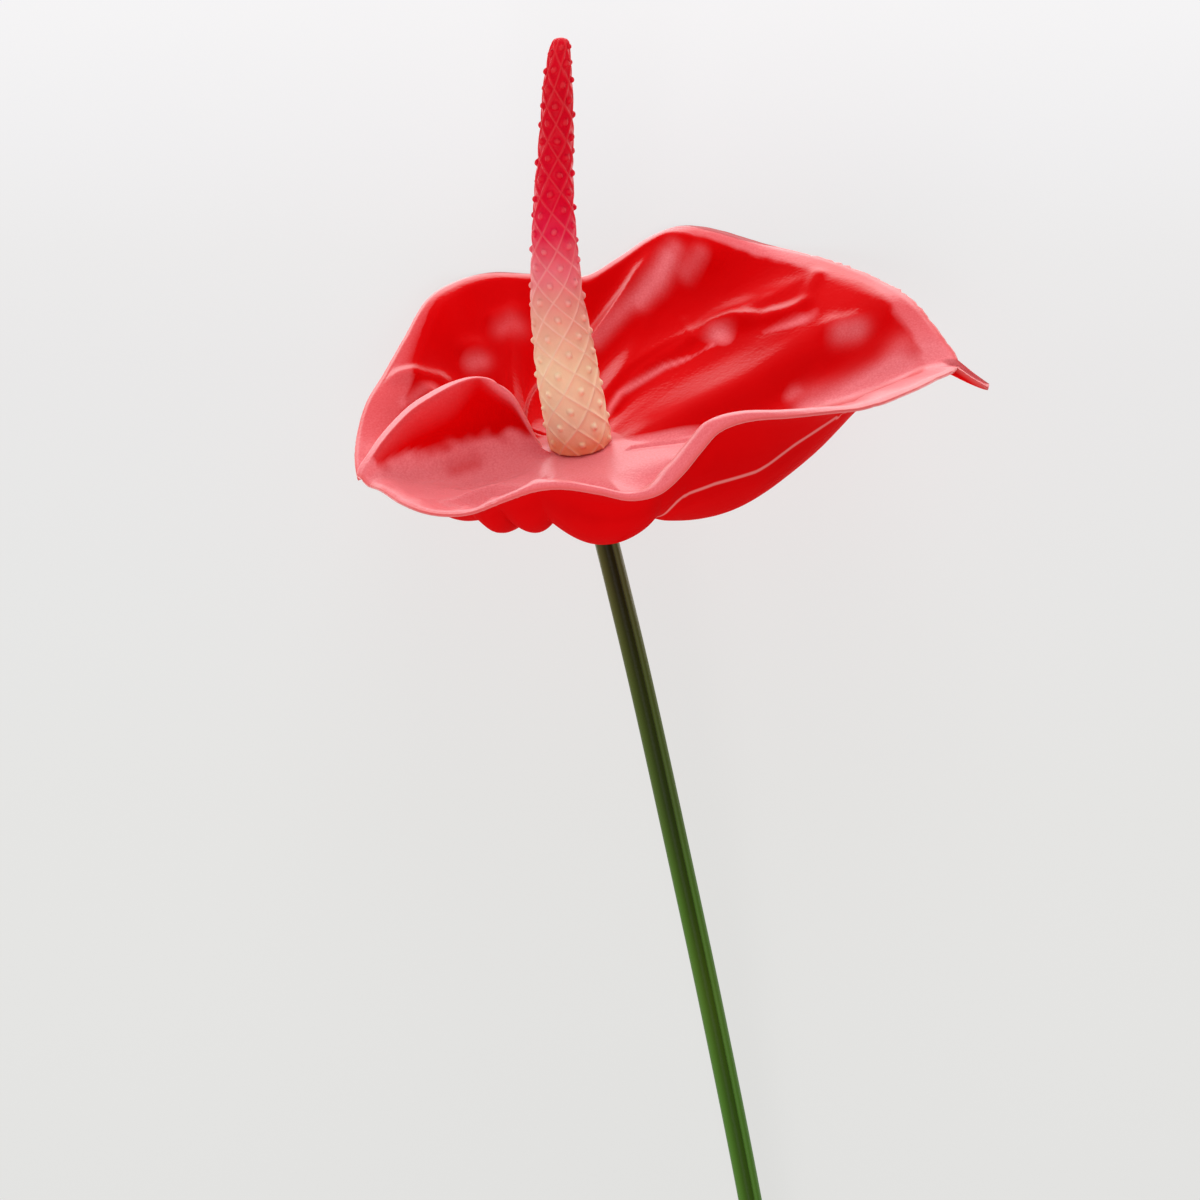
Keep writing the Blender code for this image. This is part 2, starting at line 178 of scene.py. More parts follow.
spathe = {
    "sheet": 1.1,
    "thinFrom": 0.975, "thinBy": 0.5,  # the sheet thins out at the rim
    "weld": 0.02, "sliver": 0.005,  # points nearer than this merge, shorter edges go
    # the valley along the midrib swings toward the far side on its way to the apex
    "valleySwing": 15.0, "valleyBend": 0.55, "valleyPower": 1.6, "valleyCore": 18.0, "valleyFade": 25.0,
    "lipFlat": 0.95, "lipPower": 1.2,  # how flat the lip turns, and how late
    # near lobe's fold: where it starts, how wide it is, how steep its wall and how flat its top
    "foldStart": -156.0, "foldWidth": 24.0, "foldPower": 4.0, "foldSteeper": 3.0, "foldSweep": 1.2,
    "foldTop": 0.70, "foldTopStart": 0.3,
    # curled tail at the point
    "tailAngle": 0.6, "tailStart": 0.955, "tailLength": 5.6, "tailDrop": 5.8,
    "joined": 0.126,  # the two lobes part past this share of the reach
    "finerColumns": 4, "finerRings": 6,
    # moulding flash on the rim: share of the reach where it starts, size in mm, least tear
    "flashStart": 0.99, "nibble": 0.42, "tornLeast": 0.25, "flashReach": 60.0,
    # torn stretches of the rim: strength, start, softness, end, softness in degrees
    "torn": ((1.0, 2, 8, 50, 10), (0.6, -125, 8, -92, 8)),
    # chips along the rim: strength, how many a degree, row of the noise
    "chips": ((1.0, 1.1, 3.0), (0.6, 2.9, 7.0)),
    # angle round the base, reach of the rim, height of the rim
    "rim": (
        (-180, 44.4, 1.8), (-166, 41.8, 3.5), (-151, 41.0, 3.7), (-134, 41.7, 4.9),
        (-121, 43.1, 7.4), (-109.5, 44.6, 11.5), (-101, 45.9, 14.1), (-94, 47.6, 14.8),
        (-86.5, 49.6, 13.7), (-80.5, 51.7, 12.3), (-75, 53.9, 13.2), (-70.3, 55.2, 16.4),
        (-66, 55.8, 20.1), (-62, 56.7, 23.2), (-55.5, 57.6, 23.4), (-47, 59.0, 21.0),
        (-37.4, 60.9, 17.9), (-27, 63.7, 14.1), (-17, 67.5, 11.6), (-8, 72.2, 9.3),
        (0, 77.5, 7.4), (7.5, 76.0, 10.2), (17, 74.6, 13.4), (26.4, 73.8, 13.9),
        (38, 73.0, 14.5), (49.6, 70.9, 16.0), (59.4, 66.8, 20.3), (64, 63.4, 21.9),
        (68.3, 60.3, 21.1), (75, 55.9, 18.1), (83, 53.4, 15.3), (95, 55.2, 16.7),
        (103, 57.5, 17.8), (111, 56.9, 18.1), (119.5, 54.0, 17.6), (130, 49.8, 13.8),
        (142, 47.0, 10.3), (153, 46.0, 8.2), (167, 44.9, 5.4), (180, 44.3, 4.4),
    ),
    # angle, how late the side wall rises, shares of the reach where wall and lip start
    "wall": (
        (-180, 3.0, 0.22, 0.92), (-140, 4.4, 0.22, 0.89), (-100, 6.7, 0.22, 0.86),
        (-70, 7.5, 0.22, 0.85), (-40, 6.6, 0.22, 0.85), (-25, 2.8, 0.22, 0.86),
        (-12, 2.2, 0.22, 0.88), (-2, 2.4, 0.22, 0.91), (1, 2.3, 0.20, 0.91), (4, 1.9, 0.20, 0.91),
        (8, 1.4, 0.18, 0.91), (13, 1.1, 0.16, 0.90), (20, 1.0, 0.14, 0.90), (30, 1.0, 0.13, 0.90),
        (45, 1.0, 0.14, 0.90), (60, 1.05, 0.18, 0.90), (80, 1.2, 0.20, 0.91), (100, 1.3, 0.20, 0.91),
        (125, 1.5, 0.20, 0.87), (145, 1.7, 0.20, 0.80), (165, 2.0, 0.20, 0.82), (180, 2.2, 0.22, 0.88),
    ),
    # angle of a vein at the rim, and its sweep toward the base
    "veins": (
        (-180, 0), (-147, 0), (-125.5, 0), (-115.5, 0), (-102, 0), (-72, 0), (-17, -30),
        (12, -40), (36, 75), (64, 130), (100, 60), (141, 20), (180, 0),
    ),
    "sweepFull": 0.3,  # the sweep fades toward the base below this share of the reach
    # depth of the hollow between each vein and the next, and how rounded it is
    "hollows": (1.0, 1.8, 3.2, 2.8, 4.7, 4.2, 0.6, 1.0, 1.9, 3.0, 2.6, 2.2),
    "pillowPower": 0.9,
    # where the hollows start and fade as shares of the reach, and what the near side adds
    "hollowNear": 30.0, "hollowStart": 0.15, "hollowStartNear": 0.1, "hollowGrow": 0.42,
    "hollowFade": 0.74, "hollowFadeNear": 0.06, "hollowEnd": 0.24, "hollowEndNear": -0.04,
    # pressed crease on the back of the near side: angle, height
    "crease": (
        (-70.4, 0.0), (-69.7, 2.2), (-68.7, 4.8), (-67.3, 6.6), (-64.5, 7.8), (-58.2, 8.3),
        (-51.4, 8.0), (-47.3, 7.8), (-44.6, 8.3), (-38.2, 10.2), (-33.6, 10.9), (-26.8, 11.7),
    ),
    "creaseDepth": 0.9, "creaseWidth": 1.7, "creaseStep": 0.87, "creaseReach": 6.0,
    "creaseStart": 0.6, "creaseEase": 0.1,
    # moulded ribs and dimples, mm: height, width, points toward the apex and the far side
    "ribs": (
        (0.4, 1.3, ((8.8, 14.3), (11.4, 18.6), (14.2, 21.3), (19.2, 25.0), (25.6, 28.5), (30.2, 30.2))),
        (0.8, 2.3, ((31.5, 32.0), (34.2, 32.3))),
        (0.9, 2.4, ((36.6, 31.4), (38.0, 31.0))),
        (0.35, 1.6, ((37.4, 31.1), (41.5, 30.1), (46.5, 29.6), (50.5, 31.0))),
        (0.6, 2.2, ((43.5, 30.0), (47.5, 29.8))),
        (0.4, 1.4, ((50.5, 31.0), (52.0, 34.6), (54.5, 39.0))),
        (0.4, 3.2, ((6.9, 37.2), (10.1, 37.8), (13.5, 41.5), (17.8, 44.5))),
        (0.5, 3.6, ((19.0, 46.0), (24.4, 51.2))),
        (0.7, 2.2, ((27.0, 47.5), (28.8, 49.4), (32.5, 50.0))),
        (0.8, 2.6, ((55.5, 20.6), (59.0, 19.8))),
        (0.5, 1.7, ((-8.5, 44.6), (-13.4, 43.2))),
        (0.7, 2.2, ((-18.0, 36.4), (-19.8, 35.6))),
        (0.7, 1.8, ((-26.0, 26.6), (-29.5, 25.9), (-34.0, 25.7))),
        (0.45, 0.5, ((25.4, 35.4), (26.1, 28.6))),
        (-0.9, 2.6, ((-22.5, -8.8), (-16.7, -7.3), (-12.5, -5.8))),
        (0.5, 2.4, ((-30.0, -9.5), (-22.0, -13.0), (-14.0, -12.0))),
        (-0.35, 0.9, ((8.3, -2.8), (14.3, -2.9), (22.4, -3.2), (30.0, -2.0))),
    ),
    "ribRings": (0.15, 0.96), "ribLeast": -172,  # no ribs past these shares and below this angle
    # painted sheen, pale strokes that stand in for highlights and reflections on the skin: strength, width
    # in mm, places as angle and share of the reach
    "paintedSheen": (
        (1.0, 2.3, ((41.5, 0.59), (37.5, 0.575))),
        (0.9, 1.6, ((31.2, 0.655), (28.3, 0.717), (27.5, 0.75))),
        (0.3, 1.3, ((26.9, 0.78), (28.8, 0.84), (33.0, 0.91))),
        (0.6, 2.4, ((18.0, 0.80), (16.5, 0.83))),
        (0.5, 1.6, ((78.5, 0.64), (71.0, 0.70), (67.0, 0.74), (64.5, 0.79), (63.5, 0.84))),
        (0.5, 1.5, ((66.5, 0.70), (64.0, 0.75), (63.3, 0.80), (62.5, 0.87))),
        (0.35, 1.5, ((59.5, 0.80), (58.0, 0.87))),
        (0.75, 0.7, (
            (62.0, 0.22), (59.8, 0.30), (53.8, 0.355), (48.8, 0.428), (42.5, 0.49), (40.5, 0.545),
        )),
        (0.5, 1.5, ((8.8, 0.60), (8.0, 0.585))),
        (0.7, 2.2, ((2.5, 0.60), (1.8, 0.66))),
        (0.9, 3.4, ((1.5, 0.72), (3.2, 0.83))),
        (0.8, 3.6, ((1.5, 0.86), (2.0, 0.94))),
        (0.4, 3.0, ((5.6, 0.64), (4.6, 0.70), (4.2, 0.76), (4.0, 0.84), (7.0, 0.89))),
        (0.45, 2.0, ((120.5, 0.70), (118.0, 0.68))),
        (0.3, 2.2, ((106.0, 0.73), (103.0, 0.74))),
        (0.4, 1.1, ((151.0, 0.83), (145.0, 0.80), (139.5, 0.765))),
        (-0.5, 1.8, ((-178.0, 0.47), (-175.0, 0.58))),
        # bare places that take no wax
        (-1.0, 4.5, ((22.0, 0.24), (17.5, 0.36), (14.0, 0.48))),
        (-0.9, 3.0, ((38.0, 0.50), (34.5, 0.57), (30.0, 0.64), (24.0, 0.70))),
        (-1.0, 3.2, ((50.0, 0.83), (43.3, 0.80), (34.0, 0.84), (25.0, 0.885))),
        (-0.8, 3.0, ((134.0, 0.84), (128.0, 0.86), (116.0, 0.88))),
        (-0.9, 2.2, ((55.0, 0.62), (48.4, 0.678), (43.9, 0.719), (41.0, 0.745))),
    ),
    # painted sheen on the lip, standing in for its reflection: angle, strength, how far past the start of
    # the lip it begins
    "lipSheenPaint": (
        (-180, 0.85, 0.0), (-120, 0.85, 0.0), (-60, 0.8, 0.0), (0, 0.8, 0.0), (12, 0.6, 0.02),
        (24, 0.35, 0.04), (36, 0.2, 0.01), (50, 0.75, 0.02), (62, 0.5, 0.02), (90, 0.35, 0.03),
        (110, 0.4, 0.05), (128, 0.4, 0.045), (150, 0.45, 0.03), (166, 0.6, 0.01), (180, 0.85, 0.0),
    ),
    # softness of the painted sheen's edge, and how far and how finely that edge wanders
    "sheenPaintEdge": 0.018, "sheenPaintDrift": 0.008, "driftPace": 0.35,
    # painted sheen on the top of the fold, and the weaker painted sheen below it
    "foldLip": 0.84, "foldLipLeast": 0.35, "foldLipEdge": 0.05,
    "foldGlow": 0.35, "foldGlowReach": 1.4, "foldGlowEdge": 0.1,
    # painted reflection on the low floor: strength, ends and softness in mm toward the far side, the apex
    # and up
    "floorSheenPaint": 1.0, "floorFar": 3.0, "floorFarEdge": 2.5, "floorLeft": 6.0, "floorFarLeft": 2.0,
    "floorApex": 30.0, "floorApexEdge": 10.0,
    "floorHigh": 6.4, "floorHighEdge": 3.0, "floorDrift": 190.0,
    # near lobe's upturned margin: share of the reach, height, overlap in degrees
    "margin": (
        (0.125, 0.0, 0.0), (0.15, 1.6, -2.0), (0.18, 4.0, 5.0), (0.22, 8.0, 14.0),
        (0.27, 12.2, 20.0), (0.34, 14.8, 21.0), (0.43, 16.2, 18.5), (0.53, 15.9, 14.5),
        (0.63, 14.6, 10.5), (0.72, 12.9, 7.5), (0.80, 10.6, 4.5), (0.87, 8.3, 1.6),
        (0.93, 6.0, -1.4), (0.97, 4.8, -3.8), (1.0, 3.8, -6.4),
    ),
    # far lobe's margin beneath it: share of the reach, overlap in degrees, drop in mm
    "underlap": (
        (0.125, 0.0, 0.0), (0.15, -5.0, 0.0), (0.20, -4.0, 0.0), (0.50, -2.0, 0.0),
        (0.80, 0.0, 0.0), (0.93, 3.5, 1.2), (1.0, 4.5, 2.1),
    ),
    # columns of the grid: start angle, end angle, steps
    "columns": (
        (-180, -168, 8), (-168, -150, 6), (-150, -130, 5), (-130, -56, 24), (-56, -6, 12),
        (-6, -1.8, 2), (-1.8, -0.6, 1), (-0.6, 0.6, 1), (0.6, 1.8, 1), (1.8, 6, 2), (6, 56, 13),
        (56, 110, 15), (110, 180, 16),
    ),
    # rings of the grid as shares of the reach
    "rings": (
        0.0, 0.065, 0.125, 0.15, 0.18, 0.22, 0.27, 0.34, 0.43, 0.53, 0.63, 0.72, 0.80, 0.87,
        0.93, 0.97, 1.0,
    ),
}


def wallRise(t, power, lip):
    # share of the rim's height: a wall that rises late, then a lip that turns flat
    flat = spathe["lipFlat"]
    if t > lip:
        over = t - lip
        t = lip + over - flat * over ** spathe["lipPower"] / (1 - lip) ** (spathe["lipPower"] - 1)
    return (t / (lip + (1 - lip) * (1 - flat))) ** power


def veinAngle(k, r):
    edge, sweep = spathe["veins"][k]
    return edge + sweep * (1 - r) ** 2 * min(r / spathe["sweepFull"], 1.0)


def hollowDip(angle, r):
    # depth in mm of the hollow between two veins
    near = ease(-angle / spathe["hollowNear"])
    start = spathe["hollowStart"] + spathe["hollowStartNear"] * near
    fade = spathe["hollowFade"] + spathe["hollowFadeNear"] * near
    end = spathe["hollowEnd"] + spathe["hollowEndNear"] * near
    strength = ease((r - start) / spathe["hollowGrow"]) * (1 - ease((r - fade) / end))
    dip = 0.0
    for k, hollow in enumerate(spathe["hollows"]):
        first, second = veinAngle(k, r), veinAngle(k + 1, r)
        if first < angle < second:
            share = (angle - first) / (second - first)
            dip += hollow * strength * math.sin(math.pi * share) ** spathe["pillowPower"]
    return dip


def toPath(here, path):
    # distance from a point to a bent line
    nearest = math.inf
    for start, end in zip(path[:-1], path[1:]):
        run = end - start
        share = min(max((here - start).dot(run) / run.length_squared, 0.0), 1.0)
        nearest = min(nearest, (here - start - run * share).length)
    return nearest


def onSkin(turn, share):
    # place on the flower's plane at an angle and a share of the reach
    reach = smoothTable(spathe["rim"], turn, 1) * share
    return Vector((math.cos(math.radians(turn)), math.sin(math.radians(turn)))) * reach


# the same lines as vectors, worked out once
creasePath = [Vector((angle * spathe["creaseStep"], height)) for angle, height in spathe["crease"]]
ribPaths = [(height, width, [Vector(place) for place in path]) for height, width, path in spathe["ribs"]]
paintedSheenPaths = [(share, width, [onSkin(*place) for place in path]) for share, width, path in spathe["paintedSheen"]]


def creaseAway(angle, height):
    # distance in mm from the pressed crease on the back, negative below it, capped at its reach
    line, reach = spathe["crease"], spathe["creaseReach"]
    if not line[0][0] - reach < angle < line[-1][0] + reach:
        return reach
    away = min(reach, toPath(Vector((angle * spathe["creaseStep"], height)), creasePath))
    below = angle > line[0][0] and height < smoothTable(line, angle, 1)
    return -away if below else away


def ribRise(here):
    # height of the moulded ribs at a point of the flower's plane
    return sum(height * bump(toPath(here, path), width) for height, width, path in ribPaths)


def paintedSheenShare(angle, r, a, b, height):
    # painted sheen and reflection: pale on the lips, on the low floor of the near side and in soft strokes
    drift = spathe["sheenPaintDrift"] * noise.noise(Vector((a, b, height)) * spathe["driftPace"])
    lipStart = smoothTable(spathe["wall"], angle, 3) + smoothTable(spathe["lipSheenPaint"], angle, 2)
    lip = ease((r + drift - lipStart) / spathe["sheenPaintEdge"])
    if r > spathe["joined"]:
        below = (spathe["foldStart"] - angle) / spathe["foldWidth"] - 1
        outer = ease((r - spathe["foldTopStart"]) / spathe["foldTopStart"])
        top = (1 - spathe["foldLip"]) * max(spathe["foldLipLeast"], outer)
        glow = ease((below + spathe["foldGlowReach"] * top) / spathe["foldGlowEdge"])
        lip = max(lip, ease((below + top) / spathe["foldLipEdge"]), spathe["foldGlow"] * glow)
    farEnd = spathe["floorFar"] + spathe["floorFarLeft"] * ease(-a / spathe["floorLeft"])
    high = spathe["floorHigh"] + spathe["floorDrift"] * drift
    low = ease((farEnd - b) / spathe["floorFarEdge"])
    low *= ease((spathe["floorApex"] - a) / spathe["floorApexEdge"])
    low *= ease((high - height) / spathe["floorHighEdge"])
    total = max(smoothTable(spathe["lipSheenPaint"], angle, 1) * lip, spathe["floorSheenPaint"] * low)
    here = Vector((a, b))
    total += sum(share * bump(toPath(here, path), width) for share, width, path in paintedSheenPaths)
    return min(max(total, -1.0), 1.0)


def spathePoint(angle, r):
    # middle of the sheet in mm: toward the apex, toward the far side, out of the face
    reach = smoothTable(spathe["rim"], angle, 1)
    rim = smoothTable(spathe["rim"], angle, 2)
    swing = spathe["valleySwing"] * (1 - ((1 - r) / spathe["valleyBend"]) ** spathe["valleyPower"])
    wallAngle = angle - swing * (1 - ease((abs(angle) - spathe["valleyCore"]) / spathe["valleyFade"]))
    power, start, lip = (smoothTable(spathe["wall"], wallAngle, k) for k in (1, 2, 3))
    height = rim * wallRise(max(0.0, (r - start) / (1 - start)), power, lip)
    height -= hollowDip(angle, r)
    if r > spathe["creaseStart"]:
        pressed = spathe["creaseDepth"] * ease((r - spathe["creaseStart"]) / spathe["creaseEase"])
        height += pressed * bump(creaseAway(angle, height), spathe["creaseWidth"])
    turn = angle
    if r > spathe["joined"]:
        fold = max(0.0, (spathe["foldStart"] - angle) / spathe["foldWidth"])
        outer = ease((r - spathe["foldTopStart"]) / spathe["foldTopStart"])
        power = spathe["foldPower"] + spathe["foldSteeper"] * outer
        lift = fold ** power / (1 - spathe["foldTop"] * outer)
        height += min(lift, 1.0) * (smoothTable(spathe["margin"], r, 1) - height)
        turn -= fold ** spathe["foldSweep"] * smoothTable(spathe["margin"], r, 2)
        under = max(0.0, (angle + spathe["foldStart"]) / spathe["foldWidth"]) ** spathe["foldPower"]
        height -= under * smoothTable(spathe["underlap"], r, 2)
        turn += under * smoothTable(spathe["underlap"], r, 1)
    if abs(angle) < 2 * spathe["tailAngle"]:
        pull = ease((r - spathe["tailStart"]) / (1 - spathe["tailStart"]))
        pull *= ease(2 - abs(angle) / spathe["tailAngle"])
        reach += pull * spathe["tailLength"]
        height -= pull * spathe["tailDrop"]
    a = reach * r * math.cos(math.radians(turn))
    b = reach * r * math.sin(math.radians(turn))
    if spathe["ribRings"][0] < r < spathe["ribRings"][1] and angle > spathe["ribLeast"]:
        height += ribRise(Vector((a, b)))
    return a, b, height


def ragged(angle, r):
    # moulding flash: the last half millimetre of the rim is slightly torn
    if r < spathe["flashStart"]:
        return 0.0
    torn = spathe["tornLeast"]
    for strength, start, startEase, end, endEase in spathe["torn"]:
        torn += strength * ease((angle - start) / startEase) * ease((end - angle) / endEase)
    chips = 0.0
    for strength, pace, row in spathe["chips"]:
        chips += strength * noise.noise(Vector((angle * pace, row, 0.0)))
    return torn * chips * spathe["nibble"]


def buildSpathe(face, back):
    # the sheet, from a grid of angles and rings, thickened on both sides
    angles = []
    for start, end, steps in spathe["columns"]:
        angles += [start + (end - start) * k / steps for k in range(steps)]
    angles = finerSteps(angles + [180], spathe["finerColumns"])
    rings = finerSteps(spathe["rings"], spathe["finerRings"])
    values = ("rimShare", "crease", "paintedSheen")
    bm, places, (share, crease, paintedSheen) = gridOf(len(angles) - 1, len(rings) - 1, values)
    thin = bm.verts.layers.deform.verify()
    for vert, (i, j) in places.items():
        angle, r = angles[i], rings[j]
        a, b, height = spathePoint(angle, r)
        grow = 1 + ragged(angle, r) / spathe["flashReach"]
        vert.co = base + (toApex * a * grow + toFar * b * grow + toFace * height) * mm
        vert[share] = r
        # painted sheen: pale paint that stands in for highlights and reflections
        vert[paintedSheen] = paintedSheenShare(angle, r, a, b, height)
        vert[crease] = creaseAway(angle, height) if r > spathe["creaseStart"] else spathe["creaseReach"]
        vert[thin][0] = 1 - spathe["thinBy"] * ease((r - spathe["thinFrom"]) / (1 - spathe["thinFrom"]))
    bmesh.ops.remove_doubles(bm, verts=bm.verts, dist=spathe["weld"] * mm)
    bmesh.ops.dissolve_degenerate(bm, edges=bm.edges, dist=spathe["sliver"] * mm)
    bmesh.ops.triangulate(bm, faces=[face for face in bm.faces if len(face.verts) > 4])
    bmesh.ops.recalc_face_normals(bm, faces=bm.faces)
    piece = makePiece(bm, "spathe_sheet", face, "spathe")
    piece.data.materials.append(back)
    piece.vertex_groups.new(name="thickness")
    sheet = piece.modifiers.new("sheet", "SOLIDIFY")
    sheet.thickness = spathe["sheet"] * mm
    sheet.offset = 0
    sheet.vertex_group = "thickness"
    sheet.material_offset = 1
    # keep the thickened mesh and rest its far rim flat on the paper
    bpy.context.view_layer.update()
    depsgraph = bpy.context.evaluated_depsgraph_get()
    solid = bpy.data.meshes.new_from_object(piece.evaluated_get(depsgraph))
    solid.name = "spathe_sheet"
    piece.modifiers.clear()
    piece.data = solid
    for vert in solid.vertices:
        vert.co.z = max(vert.co.z, 0.0)
    return piece


def mouldedSpatheRed(face):
    # soft moulded polyurethane: deep red body, waxy sheen that pales where it is seen edge-on, and on the
    # face a pale painted sheen on the lips, the low floor and in strokes
    side = "waxed face" if face else "plain back"
    material, tree, shader = startMaterial("moulded polyurethane, " + side)
    coords = addNode(tree, "ShaderNodeTexCoord")
    place = {"Vector": (coords, "Object")}
    cloud = addNode(tree, "ShaderNodeTexNoise", {"Scale": perMetre(22.22), "Detail": 3.0}, place)
    body = addNode(tree, "ShaderNodeValToRGB", None, {"Fac": (cloud, "Fac")})
    rampStops(body, ((0.3, "c80104"), (0.7, "d20306")))
    # painted sheen: pale, finely speckled paint on the face that stands in for highlights and reflections
    sheenPaint = addNode(tree, "ShaderNodeAttribute", {"attribute_name": "paintedSheen"})
    specks = addNode(tree, "ShaderNodeTexNoise", {"Scale": perMetre(0.4167), "Detail": 2.0}, place)
    grainy = addNode(
        tree, "ShaderNodeMapRange", {"From Min": 0.3, "From Max": 0.7, "To Min": 0.72, "To Max": 1.0},
        {"Value": (specks, "Fac")},
    )
    paleShare = addNode(
        tree, "ShaderNodeMath", {"operation": "MULTIPLY"}, {0: (sheenPaint, "Fac"), 1: (grainy, "Result")},
    )
    skin = addNode(
        tree, "ShaderNodeMix", {"data_type": "RGBA", 7: srgb("ee8086" if face else "d20306")},
        {"Factor": (paleShare, "Value"), 6: (body, "Color")},
    )
    # the rim's flash is thin and lets light through, and that light is painted in as a lighter red along
    # the edge
    share = addNode(tree, "ShaderNodeAttribute", {"attribute_name": "rimShare"})
    edge = addNode(
        tree, "ShaderNodeMapRange", {"From Min": 0.985, "From Max": 0.998, "To Max": 0.75},
        {"Value": (share, "Fac")},
    )
    rimmed = addNode(
        tree, "ShaderNodeMix", {"data_type": "RGBA", 7: srgb("e05a58")},
        {"Factor": (edge, "Result"), 6: (skin, 2)},
    )
    # painted highlight along the pressed crease on the back, where its crest catches the light
    crease = addNode(tree, "ShaderNodeAttribute", {"attribute_name": "crease"})
    away = addNode(tree, "ShaderNodeMath", {"operation": "ABSOLUTE"}, {0: (crease, "Fac")})
    creaseHighlight = addNode(
        tree, "ShaderNodeMapRange", {"From Min": 0.5, "From Max": 0.15, "To Max": 0.6},
        {"Value": (away, "Value")},
    )
    pale = addNode(
        tree, "ShaderNodeMix", {"data_type": "RGBA", 7: srgb("d20306" if face else "e4908c")},
        {"Factor": (creaseHighlight, "Result"), 6: (rimmed, 2)},
    )
    tree.links.new(pale.outputs[2], shader.inputs["Base Color"])
    # leather grain of the mould, drawn a little coarse so that it shows
    grain = addNode(
        tree, "ShaderNodeTexVoronoi", {"Scale": perMetre(0.7143), "feature": "SMOOTH_F1"}, place,
    )
    rough = addNode(tree, "ShaderNodeTexNoise", {"Scale": perMetre(1.111), "Detail": 2.0}, place)
    relief = addNode(
        tree, "ShaderNodeMath", {"operation": "ADD"}, {0: (grain, "Distance"), 1: (rough, "Fac")},
    )
    press = addNode(
        tree, "ShaderNodeBump", {"Strength": 0.2, "Distance": 0.1 * mm}, {"Height": (relief, "Value")},
    )
    tree.links.new(press.outputs["Normal"], shader.inputs["Normal"])
    tree.links.new(press.outputs["Normal"], shader.inputs["Coat Normal"])
    shader.inputs["Roughness"].default_value = 0.35
    shader.inputs["IOR"].default_value = 1.42
    shader.inputs["Specular Tint"].default_value = srgb("ff0808")
    shader.inputs["Specular IOR Level"].default_value = 0.02 if face else 0.0
    shader.inputs["Coat Roughness"].default_value = 0.32
    shader.inputs["Coat IOR"].default_value = 1.8 if face else 1.5
    shader.inputs["Coat Weight"].default_value = 0.04
    if face:  # wax that shows where the skin turns edge-on, and not on the bare places
        turnAway = addNode(
            tree, "ShaderNodeLayerWeight", {"Blend": 0.5}, {"Normal": (press, "Normal")},
        )
        wax = addNode(
            tree, "ShaderNodeMapRange", {"From Min": 0.42, "From Max": 0.56, "To Max": 0.6},
            {"Value": (turnAway, "Facing")},
        )
        bare = addNode(
            tree, "ShaderNodeMapRange", {"From Min": -1.0, "From Max": 0.0}, {"Value": (sheenPaint, "Fac")},
        )
        waxed = addNode(
            tree, "ShaderNodeMath", {"operation": "MULTIPLY"}, {0: (wax, "Result"), 1: (bare, "Result")},
        )
        tree.links.new(waxed.outputs["Value"], shader.inputs["Coat Weight"])
    return material


buildSpathe(mouldedSpatheRed(True), mouldedSpatheRed(False))
print("spathe ready")


# Spadix, in mm and degrees

spadix = {
    "lean": 14.0,
    "footShift": 2.2,
    "gap": 0.3,
    "tipCut": 80.2,
    # height, sideways offset of the centre, radius
    "spine": (
        (-4.0, 0.5, 4.6), (-1.5, 0.5, 5.5), (0.5, 0.5, 6.1), (2.5, 0.3, 6.35), (7.0, -0.5, 6.3),
        (14.9, -1.9, 6.15), (22.9, -3.0, 5.7), (28.9, -3.8, 5.2), (40.9, -4.4, 4.35),
        (48.0, -4.45, 3.9), (55.2, -4.3, 3.5), (64.7, -3.8, 3.1), (71.9, -3.6, 2.7),
        (76.7, -3.4, 2.15), (79.1, -3.2, 1.8), (80.3, -3.1, 1.5), (88.0, -3.0, 1.0),
    ),
    "fallStarts": 5, "fallPitch": 30.0,  # lines that fall to the right
    "riseStarts": 6, "risePitch": 52.0,  # lines that rise to the right
    "lineHeight": 0.24, "lineWidth": 0.26,
    "wobble": 0.35, "wobbleTurns": 2,  # the lines waver up and down
    "meshes": 33, "firstMesh": -7,
    "dotRadius": 0.66, "dotHeight": 0.6,
    "tipSteps": ((0.9, 0.25), (0.82, 0.25), (0.6, 0.2), (0.4, 0.1)),  # rounded tip: size, rise
    # places of the grid's lines within one mesh of the net
    "stops": (
        0.0, 0.025, 0.06, 0.1, 0.17, 0.26, 0.33, 0.38, 0.42, 0.46, 0.5, 0.54, 0.58, 0.62, 0.67,
        0.74, 0.83, 0.9, 0.94, 0.975,
    ),
}
# cuts across spadix and stem, in mm
cuts = {"weld": 0.01, "band": 0.02, "bandWeld": 0.03}
lean = math.radians(spadix["lean"])
spadixUp = Vector((0, math.cos(lean), math.sin(lean)))
spadixFront = Vector((0, -math.sin(lean), math.cos(lean)))
spadixFoot = base + (toFar * spadix["footShift"] + toFace * (spathe["sheet"] / 2 + spadix["gap"])) * mm


def spadixPoint(turn, height):
    # point on the smooth spadix and the way out of it
    shift = smoothTable(spadix["spine"], height, 1)
    radius = smoothTable(spadix["spine"], height, 2)
    out = Vector((-math.cos(math.tau * turn), 0, 0)) + spadixFront * math.sin(math.tau * turn)
    place = spadixFoot + (Vector((shift, 0, 0)) + spadixUp * height + out * radius) * mm
    return place, out


def cutFlat(bm, point, outward):
    # cut the tube at a plane and close it
    bmesh.ops.bisect_plane(
        bm, geom=bm.verts[:] + bm.edges[:] + bm.faces[:], dist=cuts["weld"] * mm,
        plane_co=point, plane_no=outward, clear_outer=True,
    )

    def onPlane(vert):
        return abs((vert.co - point).dot(outward)) < cuts["band"] * mm

    ring = [vert for vert in bm.verts if onPlane(vert)]
    bmesh.ops.remove_doubles(bm, verts=ring, dist=cuts["bandWeld"] * mm)
    loop = [edge for edge in bm.edges if edge.is_boundary and onPlane(edge.verts[0])]
    return bmesh.ops.contextual_create(bm, geom=loop)["faces"]


